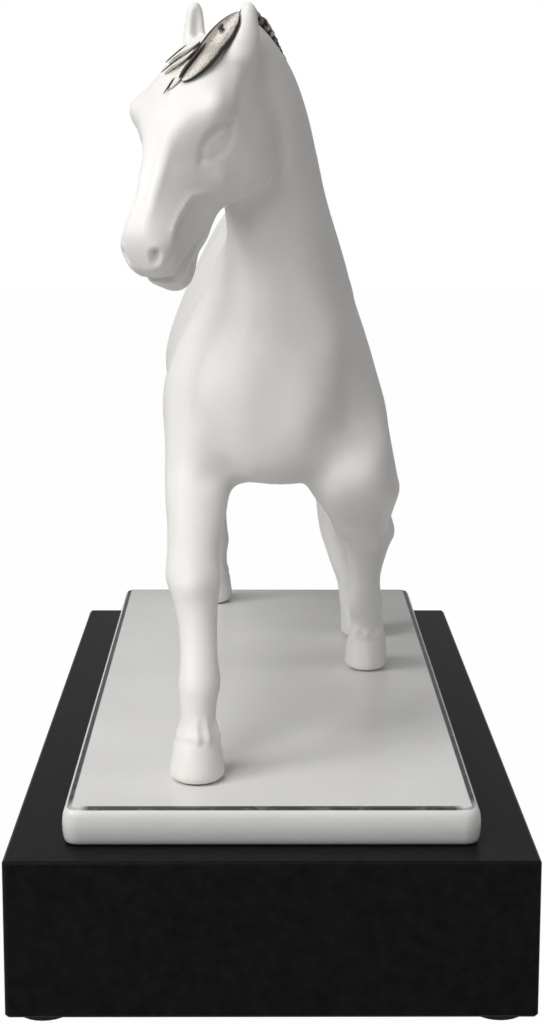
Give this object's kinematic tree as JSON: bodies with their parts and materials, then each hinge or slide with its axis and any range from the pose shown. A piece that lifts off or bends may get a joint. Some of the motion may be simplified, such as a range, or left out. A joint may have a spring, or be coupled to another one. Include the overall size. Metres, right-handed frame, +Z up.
{
  "type": "porcelain horse figurine",
  "caption": "Walking horse in unglazed white porcelain with silver lustre hair, on a glazed rectangular plinth and a black lacquered wood base. Stands on its own feet.",
  "frame": {"origin": "bottom centre of the whole object, on the table under the rubber feet", "axes": "+Z up, -Y is the way the horse walks and the front of the base, +X is the horse's left"},
  "size_m": [0.16, 0.336, 0.3057],
  "materials": {
    "porcelain": "unglazed white bisque porcelain, satin",
    "glazed_porcelain": "clear glazed white porcelain, glossy, with a dark silver pinstripe",
    "silver_lustre": "fired silver lustre over porcelain, metallic sheen with dark recesses",
    "black_lacquer": "black lacquered wood, satin",
    "bottom_board": "black stained board, matte",
    "foot_rubber": "black rubber, matte"
  },
  "bodies": {
    "root": {"foot_front_right": "foot_rubber", "foot_front_left": "foot_rubber", "foot_back_right": "foot_rubber", "foot_back_left": "foot_rubber", "base_box": "black_lacquer", "bottom_board": "bottom_board", "plinth": "glazed_porcelain", "torso": "porcelain", "head": "porcelain", "neck": "porcelain", "leg_fore_right": "porcelain", "leg_fore_left": "porcelain", "leg_hind_right": "porcelain", "leg_hind_left": "porcelain", "ear_right": "porcelain", "ear_left": "porcelain", "forelock_middle": "silver_lustre", "forelock_right": "silver_lustre", "forelock_inner": "silver_lustre", "mane_lock_1": "silver_lustre", "mane_lock_2": "silver_lustre", "mane_lock_3": "silver_lustre", "mane_lock_4": "silver_lustre", "mane_lock_5": "silver_lustre", "mane_lock_6": "silver_lustre", "mane_lock_7": "silver_lustre", "mane_lock_8": "silver_lustre", "mane_lock_9": "silver_lustre", "tail_middle": "silver_lustre", "tail_right": "silver_lustre", "tail_left": "silver_lustre"}
  },
  "joints": []
}
